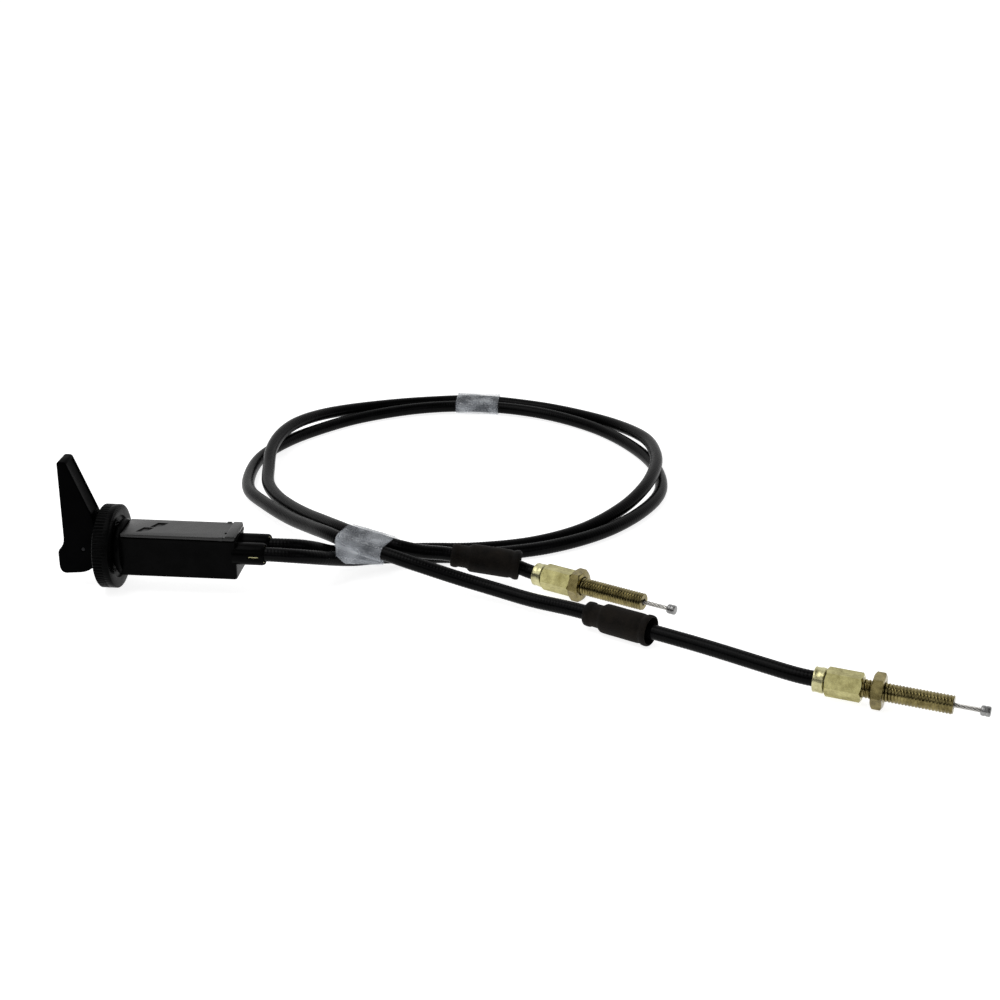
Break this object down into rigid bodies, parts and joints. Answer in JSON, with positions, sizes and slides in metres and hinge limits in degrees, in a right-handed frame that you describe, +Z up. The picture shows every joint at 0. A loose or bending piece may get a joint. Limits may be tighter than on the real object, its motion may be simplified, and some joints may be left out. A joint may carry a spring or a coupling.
{
  "type": "dual choke cable control",
  "caption": "Panel-mount lever control that pulls a pair of Bowden cables laid in a taped loop, each ending in a threaded adjuster with a lock nut and wire end.",
  "frame": {"origin": "centre of the bottom of the control's bounding box without its cables: on the floor, under the middle of the lever, nut and housing", "axes": "+X from the lever along the neck and housing to the cable outlets, +Z up, +Y to the left of the cables as they leave"},
  "size_m": [0.305, 0.2711, 0.0465],
  "materials": {
    "black_plastic": "moulded black plastic, satin gloss with mould texture",
    "lever_plastic": "moulded black plastic, glossier",
    "cable_jacket": "black PVC jacket over coiled conduit, satin with faint ribs",
    "rubber": "matte moulded rubber",
    "bright_zinc": "pale yellow zinc plate, crimped",
    "yellow_zinc": "yellow zinc plate, satin",
    "olive_zinc": "olive drab zinc plate, cut thread",
    "steel": "stranded steel wire",
    "dark_steel": "blackened steel pin",
    "zinc_alloy": "dull cast zinc end fittings",
    "clear_tape": "clear adhesive tape with a sawtooth end"
  },
  "bodies": {
    "base": {"housing": "black_plastic", "housing_cover": "black_plastic", "conduit_ferrule_1": "bright_zinc", "conduit_ferrule_2": "bright_zinc", "cable_1": "cable_jacket", "cable_2": "cable_jacket", "crimp_ferrule_1": "bright_zinc", "crimp_ferrule_2": "bright_zinc", "hex_sleeve_1": "yellow_zinc", "hex_sleeve_2": "yellow_zinc", "tape_top": "clear_tape", "tape_front": "clear_tape"},
    "plunger_body": {"plunger": "black_plastic", "pivot_pin": "dark_steel", "wire_nipple_1": "zinc_alloy", "wire_nipple_2": "zinc_alloy", "control_wire_1": "steel", "control_wire_2": "steel"},
    "lever_body": {"lever": "lever_plastic"},
    "panel_nut_body": {"panel_nut": "black_plastic"},
    "boot_1": {"rubber_boot_1": "rubber"},
    "boot_2": {"rubber_boot_2": "rubber"},
    "adjusting_tube_1": {"threaded_tube_1": "olive_zinc"},
    "adjusting_tube_2": {"threaded_tube_2": "olive_zinc"},
    "lock_nut_body_1": {"lock_nut_1": "olive_zinc"},
    "lock_nut_body_2": {"lock_nut_2": "olive_zinc"},
    "wire_end_1": {"end_wire_1": "steel", "end_barrel_1": "zinc_alloy"},
    "wire_end_2": {"end_wire_2": "steel", "end_barrel_2": "zinc_alloy"}
  },
  "joints": [
    {"name": "plunger_travel", "type": "slide", "parent": "base", "child": "plunger_body", "axis": [-1, 0, 0], "range_m": [0, 0.004]},
    {"name": "lever_swing", "type": "hinge", "parent": "plunger_body", "child": "lever_body", "pos_m": [-0.02735, 0, 0.0145], "axis": [0, -1, 0], "range_deg": [0, 85]},
    {"name": "panel_nut_travel", "type": "slide", "parent": "base", "child": "panel_nut_body", "axis": [-1, 0, 0], "range_m": [0, 0.0011]},
    {"name": "boot_1_slide", "type": "slide", "parent": "base", "child": "boot_1", "axis": [0.9931, -0.0341, -0.112], "range_m": [0, 0.001]},
    {"name": "boot_2_slide", "type": "slide", "parent": "base", "child": "boot_2", "axis": [0.8826, -0.47, 0], "range_m": [0, 0.02]},
    {"name": "adjuster_1_travel", "type": "slide", "parent": "base", "child": "adjusting_tube_1", "axis": [0.8926, -0.4509, 0], "range_m": [0, 0.003]},
    {"name": "adjuster_2_travel", "type": "slide", "parent": "base", "child": "adjusting_tube_2", "axis": [0.9542, -0.299, 0], "range_m": [0, 0.003]},
    {"name": "lock_nut_1_travel", "type": "slide", "parent": "adjusting_tube_1", "child": "lock_nut_body_1", "axis": [0.8926, -0.4509, 0], "range_m": [0, 0.02]},
    {"name": "lock_nut_2_travel", "type": "slide", "parent": "adjusting_tube_2", "child": "lock_nut_body_2", "axis": [0.9542, -0.299, 0], "range_m": [-0.0027, 0.018]},
    {"name": "wire_end_1_travel", "type": "slide", "parent": "base", "child": "wire_end_1", "axis": [-0.8926, 0.4509, 0], "range_m": [0, 0.004]},
    {"name": "wire_end_2_travel", "type": "slide", "parent": "base", "child": "wire_end_2", "axis": [-0.9542, 0.299, 0], "range_m": [0, 0.004]}
  ],
  "couplings": [
    {"joint": "plunger_travel", "follows": "lever_swing", "m_per_rad": 0.0026963},
    {"joint": "wire_end_1_travel", "follows": "lever_swing", "m_per_rad": 0.0026963},
    {"joint": "wire_end_2_travel", "follows": "lever_swing", "m_per_rad": 0.0026963}
  ]
}
